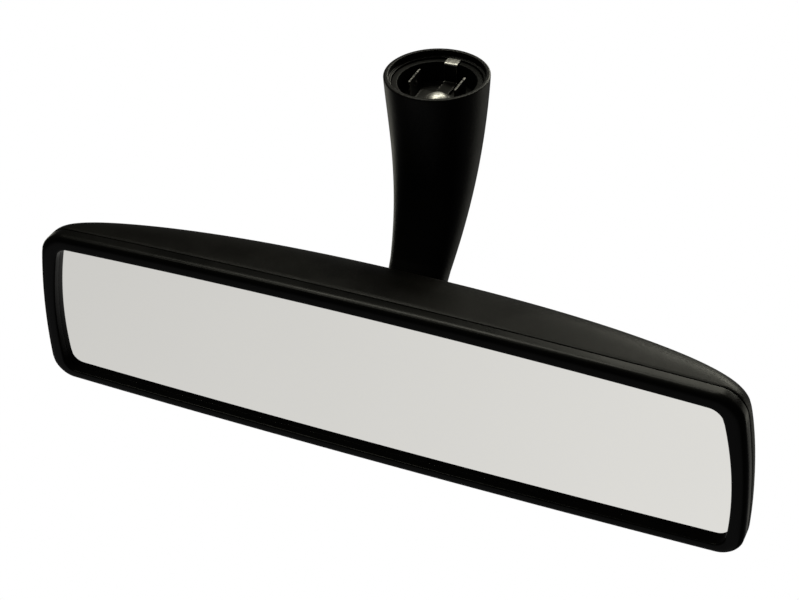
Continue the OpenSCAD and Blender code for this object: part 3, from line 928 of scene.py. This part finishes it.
class MIRROR_OT_arm(Operator):
    """Builds the arm: a curved, tapering stem with the stepped socket and the shank's bore"""

    bl_idname = "mirror.arm"
    bl_label = "Arm"

    CURVE_STEPS = 96
    FOOT_STEPS = 30
    ROUND_STEPS = 6

    def execute(self, context):
        s = context.scene.mirror_arm
        shape = ArmShape(s)
        well = [
            (0.0018, SOCKET_FLOOR - 0.004), (0.0018, -s.socket_deep), (s.seat_r, -s.socket_deep),
            (s.seat_r, -s.socket_step), (s.socket_r, -s.socket_step), (s.socket_r, 0.0),
            (s.rim_r - s.rim_round, 0.0),
        ]
        fine = s.bore_round
        path = rounded(well, [fine, fine, fine, fine, fine], steps=4)
        rings = [shape.circle(p.y, p.x) for p in path]
        depth = -shape.bend.z
        for i in range(1, self.ROUND_STEPS + 1):
            turn = math.pi / 2 * i / self.ROUND_STEPS
            share = s.rim_round * (1 - math.cos(turn)) / depth
            rings.append(shape.curved(share, s.rim_round * (1 - math.sin(turn))))
        first = s.rim_round / depth
        for i in range(1, self.CURVE_STEPS + 1):
            rings.append(shape.curved(mix(first, 1.0, i / self.CURVE_STEPS)))
        for i in range(1, self.FOOT_STEPS + 1):
            up = mix(s.bend_gap, shape.SHANK_FROM, i / self.FOOT_STEPS)
            rings.append(shape.straight(up, shape.foot_scale(up)))
        rings.append(shape.shank_circle(shape.SHANK_FROM, shape.SHANK_R + 0.0003))
        rings.append(shape.shank_circle(shape.SHANK_FROM + 0.0003, shape.SHANK_R))
        rings.append(shape.shank_circle(shape.SHANK_TO, shape.SHANK_R))
        obj = mesh_piece("arm_stem", *skin(rings, start="fan", end="fan"), crease=38.0)
        paint(obj, powder_paint())
        place(obj, "arm", "arm_paint", "arm")
        return {"FINISHED"}


class MIRROR_OT_shell(Operator):
    """Builds the rear shell: a full dome with the throat for the arm and four screw posts"""

    bl_idname = "mirror.shell"
    bl_label = "Rear shell"

    DOME_POWER = 2.5
    EDGE_PULL = 12
    DOME_STEPS = 56
    LAST_ANGLE = 89.4
    INNER_K = 0.64
    POST_R = 3.5 * MM
    POST_AT = (64 * MM, 12.5 * MM)
    POST_Y = 6.5 * MM
    PILOT_R = 1.1 * MM
    PILOT_DEEP = 9 * MM
    THROAT_R = 11 * MM
    THROAT_SIDE = 6.8 * MM
    THROAT_SHIFT = 0.8 * MM
    THROAT_FROM = 6 * MM
    THROAT_TO = 34 * MM

    def dome(self, outline, k, deep, base):
        """Rings from the rim to the crown of the shell's outside or inside."""
        edge = outline.edge(k)
        rim = outline.spread(edge, k)
        rings = []
        for i in range(self.DOME_STEPS + 1):
            t = math.cos(math.radians(self.LAST_ANGLE * i / self.DOME_STEPS)) ** (2 / self.DOME_POWER)
            p = edge * t
            full = np.maximum(outline.spread(p, k) - rim * t ** self.EDGE_PULL, 0)
            y = base + deep * full ** (1 / self.DOME_POWER)
            rings.append(np.column_stack([p[:, 0], y, p[:, 1]]) + np.array(HEAD_MIDDLE))
        return rings

    def throat(self, arm):
        """The stadium-shaped throat on the ball's axis."""
        path = []
        steps = 48
        for i in range(2 * steps):
            side = 1 if i < steps else -1
            turn = -math.pi / 2 + math.pi * (i % steps) / (steps - 1) + (0 if side > 0 else math.pi)
            path.append((side * self.THROAT_SIDE + self.THROAT_R * math.cos(turn),
                         self.THROAT_R * math.sin(turn) - self.THROAT_SHIFT))
        put = arm.on_axis()
        rings = [[put @ Vector((x, y, z)) for x, y in path] for z in (self.THROAT_FROM, self.THROAT_TO)]
        return skin(rings, start="flat", end="flat")

    def execute(self, context):
        s = context.scene.mirror_head
        outline = head_outline()
        base = Bezel.PART_Y + Bezel.PART_GAP
        fine = s.edge_round
        outer = self.dome(outline, 1.0, s.depth, base)
        inner = self.dome(outline, self.INNER_K, s.depth - s.wall, base)
        outer[0] = outline.ring(1.0, base + fine)
        rim = [outline.ring(1 - 0.3 * fine / Bezel.LIP_W, base + 0.3 * fine),
               outline.ring(1 - fine / Bezel.LIP_W, base)]
        rings = outer[::-1] + rim + inner
        obj = mesh_piece("rear_shell", *skin(rings, start="fan", end="fan"))
        posts = []
        pilots = []
        to_back = Matrix.Rotation(-math.pi / 2, 4, "X")
        for sx in (-1, 1):
            for sz in (-1, 1):
                x, z = sx * self.POST_AT[0], sz * self.POST_AT[1]
                corner = np.array([[x + 0.7 * sx * self.POST_R, z + 0.7 * sz * self.POST_R]])
                reach = base + s.depth * float(outline.spread(corner, 1.0)[0]) ** (1 / self.DOME_POWER)
                reach -= self.POST_Y + 0.4 * s.wall
                put = Matrix.Translation(HEAD_MIDDLE + Vector((x, self.POST_Y, z))) @ to_back
                posts.append(lathe([(self.POST_R - fine, 0), (self.POST_R, fine), (self.POST_R, reach)],
                                   put, steps=40))
                pilots.append(lathe([(self.PILOT_R, -MM), (self.PILOT_R, self.PILOT_DEEP)], put, steps=32))
        carve(obj, merged(*posts), "UNION")
        arm = ArmShape(context.scene.mirror_arm)
        carve(obj, merged(self.throat(arm), *pilots))
        paint(obj, shell_plastic())
        place(obj, "head", "housing", "rear_housing")
        return {"FINISHED"}


class MIRROR_OT_pane(Operator):
    """Builds the mirror glass with its ground edge"""

    bl_idname = "mirror.pane"
    bl_label = "Mirror glass"

    def execute(self, context):
        outline = head_outline()
        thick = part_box("mirror_glass")[1].y - GLASS_Y
        ground = 0.35 * MM
        k_in = Bezel.GLASS_K - ground / Bezel.LIP_W
        profile = [(k_in, 0), (Bezel.GLASS_K, ground), (Bezel.GLASS_K, thick - ground), (k_in, thick)]
        rings = [outline.ring(k, y) for k, y in profile]
        obj = mesh_piece("mirror_pane", *skin(rings, start="flat", end="flat"), crease=20.0)
        paint(obj, silvered_glass(), glass_lacquer())
        for face in obj.data.polygons:
            face.material_index = 0 if face.normal.y < -0.9 else 1
        place(obj, "head", "mirror", "mirror_glass")
        return {"FINISHED"}


class MIRROR_OT_socket(Operator):
    """Builds what sits in the socket: liner, button clip, locking leaf and rivet"""

    bl_idname = "mirror.socket"
    bl_label = "Socket fittings"

    CLIP_T = 0.6 * MM
    NIB_R = 1.1 * MM
    LEAF_T = 0.4 * MM
    LEAF_EYE_R = 4.0 * MM
    RIVET_HOLE_R = 1.8 * MM

    def execute(self, context):
        self.liner(context)
        self.clip()
        self.leaf()
        self.rivet()
        return {"FINISHED"}

    def liner(self, context):
        low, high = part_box("socket_insert")
        outside = high.x
        inside = outside - 1.9 * MM
        floor = low.z + 1.0 * MM
        fine = 0.35 * MM
        profile = [
            (self.RIVET_HOLE_R, low.z), (outside, low.z), (outside, high.z), (inside, high.z),
            (inside, floor), (self.RIVET_HOLE_R, floor), (self.RIVET_HOLE_R, low.z),
        ]
        path = rounded(profile, [fine, fine, fine, fine, 0.5 * fine])
        points, faces = lathe([(p.x, p.y) for p in path], steps=128, start="open", end="open")
        obj = mesh_piece("socket_liner", points, faces, crease=40.0)
        paint(obj, inner_plastic())
        place(obj, "arm", "black_plastic", "socket_insert")

    def strip(self, name, path, half_w, thick, across, rows=24):
        """A bent strip of sheet metal: its path is the middle line, swept to both sides."""
        path = [Vector(p) for p in path]
        rings = []
        for i, p in enumerate(path):
            ahead = path[min(i + 1, len(path) - 1)] - path[max(i - 1, 0)]
            side = Vector((-ahead.y, ahead.x)).normalized() * thick / 2
            soft = 0.25 * thick
            ring = []
            for j in range(rows + 1):
                w = -half_w + 2 * half_w * j / rows
                ring.append(across(p + side * (0.75 if j in (0, rows) else 1.0), w))
            for j in range(rows, -1, -1):
                w = -half_w + 2 * half_w * j / rows
                ring.append(across(p - side * (0.75 if j in (0, rows) else 1.0), w))
            rings.append(ring)
        return mesh_piece(name, *skin(rings, start="flat", end="flat"), crease=45.0)

    def clip(self):
        low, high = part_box("retaining_clip")
        half_t = self.CLIP_T / 2
        x = high.x - half_t
        z = low.z + half_t
        corners = [(-x, high.z), (-x, z), (x, z), (x, high.z)]
        bent = self.dense(rounded(corners, [0.9 * MM, 0.9 * MM], steps=8), 0.25 * MM)
        nib_z = (low.z + high.z) / 2 + 1 * MM

        def across(p, w):
            side = 1 if p.x > 0 else -1
            push = 0.8 * MM * math.exp(-((p.y - nib_z) ** 2 + w ** 2) / (0.7 * self.NIB_R) ** 2)
            return Vector((p.x - side * push * (abs(p.x) > 0.8 * x), w, p.y))

        obj = self.strip("button_clip", bent, high.y, self.CLIP_T, across, rows=48)
        hole = Matrix.Translation((0, 0, low.z - MM))
        carve(obj, lathe([(self.RIVET_HOLE_R, 0), (self.RIVET_HOLE_R, 3 * MM)], hole, steps=48), crease=45.0)
        paint(obj, dark_spring_steel())
        place(obj, "arm", "dark_steel", "retaining_clip")

    def dense(self, path, step):
        """A path with points no further apart than a step."""
        made = [path[0]]
        for p in path[1:]:
            count = max(1, math.ceil((p - made[-1]).length / step))
            start = made[-1]
            made += [start.lerp(p, (i + 1) / count) for i in range(count)]
        return made

    def leaf(self):
        low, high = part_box("locking_spring")
        half_t = self.LEAF_T / 2
        z = low.z + half_t
        half_w = 2.15 * MM
        up_y = 11.0 * MM - half_t
        top = high.z - half_t
        corners = [(-half_w - 1 * MM, z), (up_y, z), (up_y, top), (high.y, top)]
        bent = self.dense(rounded(corners, [0.8 * MM, 0.7 * MM], steps=8), 0.4 * MM)
        obj = self.strip("lock_leaf", bent, half_w, self.LEAF_T, lambda p, w: Vector((w, p.x, p.y)), rows=12)
        put = Matrix.Translation((0, 0, low.z))
        fine = 0.08 * MM
        eye = [(self.LEAF_EYE_R - fine, 0), (self.LEAF_EYE_R, fine), (self.LEAF_EYE_R, self.LEAF_T - fine),
               (self.LEAF_EYE_R - fine, self.LEAF_T)]
        carve(obj, lathe(eye, put, steps=72), "UNION", crease=45.0)
        hole = Matrix.Translation((0, 0, low.z - MM))
        carve(obj, lathe([(self.RIVET_HOLE_R, 0), (self.RIVET_HOLE_R, 3 * MM)], hole, steps=48), crease=45.0)
        paint(obj, leaf_steel())
        place(obj, "arm", "dark_steel", "locking_spring")

    def rivet(self):
        low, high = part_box("clip_rivet")
        head_r = high.x
        head_h = 1.6 * MM
        shank_r = 1.75 * MM
        under = high.z - head_h
        sphere_r = (head_r ** 2 + head_h ** 2) / (2 * head_h)
        steps = 22
        profile = [(shank_r - 0.3 * MM, low.z), (shank_r, low.z + 0.3 * MM), (shank_r, under),
                   (head_r - 0.12 * MM, under), (head_r, under + 0.06 * MM)]
        last = math.asin(head_r / sphere_r)
        for i in range(1, steps):
            turn = last * (1 - i / steps)
            r = sphere_r * math.sin(turn)
            z = high.z - sphere_r * (1 - math.cos(turn))
            if z > under + 0.1 * MM:
                profile.append((r, z - 0.05 * MM * math.exp(-(r / (0.25 * head_r)) ** 2)))
        obj = mesh_piece("rivet_head", *lathe(profile, steps=72), crease=45.0)
        paint(obj, rivet_steel())
        place(obj, "arm", "bright_steel", "clip_rivet")


class MIRROR_OT_ball_joint(Operator):
    """Finishes the ball stud, its liners, the cup and the clamp ring"""

    bl_idname = "mirror.ball_joint"
    bl_label = "Ball joint"

    def execute(self, context):
        dress("ball_stud", plated_steel(), 0.25 * MM)
        dress("inner_liner", turned_acetal(), 0.1 * MM)
        dress("outer_liner", turned_acetal(), 0.1 * MM)
        dress("ball_cup", inner_plastic(), 0.25 * MM)
        dress("clamp_ring", dark_spring_steel(), 0.2 * MM)
        return {"FINISHED"}


class MIRROR_OT_fixings(Operator):
    """Finishes the screws, the spring washers and the cross pin"""

    bl_idname = "mirror.fixings"
    bl_label = "Screws, washers and pin"

    def execute(self, context):
        for node in ("carrier_screws", "cup_screws", "clamp_screws", "stud_pin"):
            dress(node, plated_steel(), 0.08 * MM)
        dress("clamp_springs", spring_steel(), 0.08 * MM)
        return {"FINISHED"}


class MIRROR_OT_backing(Operator):
    """Finishes what lies behind the glass: film, foam pads and carrier plate"""

    bl_idname = "mirror.backing"
    bl_label = "Film, pads and plate"

    def execute(self, context):
        dress("backing_film", safety_film(), 0.05 * MM)
        dress("foam_pads", open_foam(), 0.5 * MM)
        dress("carrier_plate", dark_spring_steel(), 0.2 * MM)
        return {"FINISHED"}


# ---------------------------------------------------------------- stage


def glow(tree, seen, mirrored, diffused, tone=None):
    """An emission that is plain white to the eye and softer in reflections and bounced light."""
    path = tree.nodes.new("ShaderNodeLightPath")
    strength = calculate(tree, "ADD", diffused,
                         calculate(tree, "MULTIPLY", path.outputs["Is Glossy Ray"], mirrored - diffused))
    if tone is not None:
        strength = calculate(tree, "MULTIPLY", strength, tone)
    rest = calculate(tree, "SUBTRACT", 1.0, path.outputs["Is Camera Ray"])
    strength = calculate(tree, "MULTIPLY", strength, rest)
    return calculate(tree, "ADD", strength, calculate(tree, "MULTIPLY", path.outputs["Is Camera Ray"], seen))


class MIRROR_OT_stage(Operator):
    """Sets the camera, the pale floor, the backdrop and the soft lights"""

    bl_idname = "mirror.stage"
    bl_label = "Stage"

    HEAD_AIM = (0.0, -0.02, -0.06)
    # The lit pool of the floor that the glass reflects
    POOL_AT = (-0.6, -1.3)
    POOL_R = 1.5
    POOL_OUTSIDE = 0.15
    LIGHT_TINT = (1.0, 0.985, 0.84)
    # name, turn from behind towards the right, height as an angle, distance, width, height, brightness
    LIGHTS = (
        ("key_behind", 3.0, 40.0, 1.2, 0.50, 0.34, 18.0),
        ("high_behind", -25.0, 62.0, 1.2, 0.40, 0.30, 28.0),
        ("high_left", -55.0, 63.0, 1.2, 0.34, 0.34, 22.0),
        ("high_front", -112.0, 64.0, 1.2, 0.30, 0.30, 14.0),
        ("low_behind", 13.0, 14.0, 1.2, 0.80, 0.34, 17.0),
        ("right_panel", 45.0, -15.0, 1.1, 0.45, 0.60, 1.9),
        ("right_low", 18.0, -36.0, 1.2, 0.40, 0.40, 0.3),
        ("left_panel", -60.0, -22.0, 1.1, 0.28, 0.60, 1.9),
    )

    def execute(self, context):
        s = context.scene.mirror_stage
        self.camera(context, s)
        self.floor(s)
        self.backdrop(context, s)
        for light in self.LIGHTS:
            self.soft_light(context, *light)
        context.scene.view_settings.view_transform = "Standard"
        return {"FINISHED"}

    def camera(self, context, s):
        right = Vector((math.cos(s.yaw), math.sin(s.yaw), 0))
        back = Vector((math.sin(s.yaw) * math.cos(s.pitch), -math.cos(s.yaw) * math.cos(s.pitch),
                       math.sin(s.pitch)))
        up = back.cross(right)
        across = right * math.cos(s.roll) + up * math.sin(s.roll)
        upward = up * math.cos(s.roll) - right * math.sin(s.roll)
        at = Vector(s.aim) + back * s.distance
        data = bpy.data.cameras.new("camera")
        data.lens = s.lens
        data.sensor_width = 36.0
        data.clip_start = 0.01
        obj = bpy.data.objects.new("camera", data)
        turn = Matrix((across, upward, back)).transposed().to_4x4()
        obj.matrix_world = Matrix.Translation(at) @ turn
        context.scene.collection.objects.link(obj)
        context.scene.camera = obj

    def floor(self, s):
        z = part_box("bezel")[0].z - s.floor_drop
        w = s.floor_w / 2
        mesh = bpy.data.meshes.new("floor")
        mesh.from_pydata([(-w, -w, z), (w, -w, z), (w, w, z), (-w, w, z)], [], [(0, 1, 2, 3)])
        floor = bpy.data.objects.new("floor", mesh)
        bpy.context.scene.collection.objects.link(floor)
        finish = Finish("pale_floor")
        tree = finish.tree
        parts = finish.node("ShaderNodeSeparateXYZ", Vector=finish.object_place)
        centre = finish.node("ShaderNodeVectorMath", Vector=finish.object_place)
        centre.operation = "DISTANCE"
        centre.inputs[1].default_value = (*self.POOL_AT, z)
        pool = remap(tree, centre.outputs["Value"], self.POOL_R, 0.75 * self.POOL_R, self.POOL_OUTSIDE, 1.0)
        slope = remap(tree, parts.outputs["X"], -1.4, 0.3, 0.88, 1.10)
        tone = calculate(tree, "MULTIPLY", pool, slope)
        light = tree.nodes.new("ShaderNodeEmission")
        tree.links.new(glow(tree, 1.0, s.floor_glow, 0.5, tone), light.inputs["Strength"])
        out = tree.nodes["Material Output"]
        tree.links.new(light.outputs[0], out.inputs["Surface"])
        paint(floor, finish.material)

    def backdrop(self, context, s):
        world = bpy.data.worlds.new("backdrop")
        world.use_nodes = True
        tree = world.node_tree
        sky = tree.nodes["Background"]
        tree.links.new(glow(tree, 1.0, s.sky_glow, 0.5), sky.inputs["Strength"])
        sky.inputs["Color"].default_value = (1.0, 1.0, 1.0, 1.0)
        context.scene.world = world

    def soft_light(self, context, name, turn, up, distance, width, height, brightness):
        turn, up = math.radians(turn), math.radians(up)
        away = Vector((math.sin(turn) * math.cos(up), math.cos(turn) * math.cos(up), math.sin(up)))
        data = bpy.data.lights.new(name, "AREA")
        data.shape = "RECTANGLE"
        data.size = width
        data.size_y = height
        data.energy = brightness * math.pi * width * height
        data.color = self.LIGHT_TINT
        obj = bpy.data.objects.new(name, data)
        obj.location = Vector(self.HEAD_AIM) + away * distance
        obj.rotation_euler = away.to_track_quat("Z", "Y").to_euler()
        obj.visible_camera = False
        context.scene.collection.objects.link(obj)


class MIRROR_PT_panel(Panel):
    """Lists the mirror's pieces and its stage"""

    bl_idname = "MIRROR_PT_panel"
    bl_label = "Interior mirror"
    bl_space_type = "VIEW_3D"
    bl_region_type = "UI"
    bl_category = "Mirror"

    def draw(self, context):
        for operator in OPERATORS:
            self.layout.operator(operator.bl_idname)


SETTINGS = (
    ("mirror_head", MirrorHeadSizes),
    ("mirror_arm", MirrorArmSizes),
    ("mirror_colours", MirrorColours),
    ("mirror_stage", MirrorStage),
)
OPERATORS = (
    MIRROR_OT_stage,
    MIRROR_OT_bezel,
    MIRROR_OT_shell,
    MIRROR_OT_arm,
    MIRROR_OT_pane,
    MIRROR_OT_socket,
    MIRROR_OT_ball_joint,
    MIRROR_OT_fixings,
    MIRROR_OT_backing,
)


def register():
    for _, group in SETTINGS:
        bpy.utils.register_class(group)
    for operator in OPERATORS:
        bpy.utils.register_class(operator)
    bpy.utils.register_class(MIRROR_PT_panel)
    for name, group in SETTINGS:
        setattr(bpy.types.Scene, name, PointerProperty(type=group))


def unregister():
    for name, _ in SETTINGS:
        delattr(bpy.types.Scene, name)
    bpy.utils.unregister_class(MIRROR_PT_panel)
    for operator in reversed(OPERATORS):
        bpy.utils.unregister_class(operator)
    for _, group in reversed(SETTINGS):
        bpy.utils.unregister_class(group)


def main():
    """Builds every piece and the stage."""
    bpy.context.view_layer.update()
    register()
    bpy.ops.mirror.stage()
    bpy.ops.mirror.bezel()
    bpy.ops.mirror.shell()
    bpy.ops.mirror.arm()
    bpy.ops.mirror.pane()
    bpy.ops.mirror.socket()
    bpy.ops.mirror.ball_joint()
    bpy.ops.mirror.fixings()
    bpy.ops.mirror.backing()


if __name__ == "__main__":
    main()
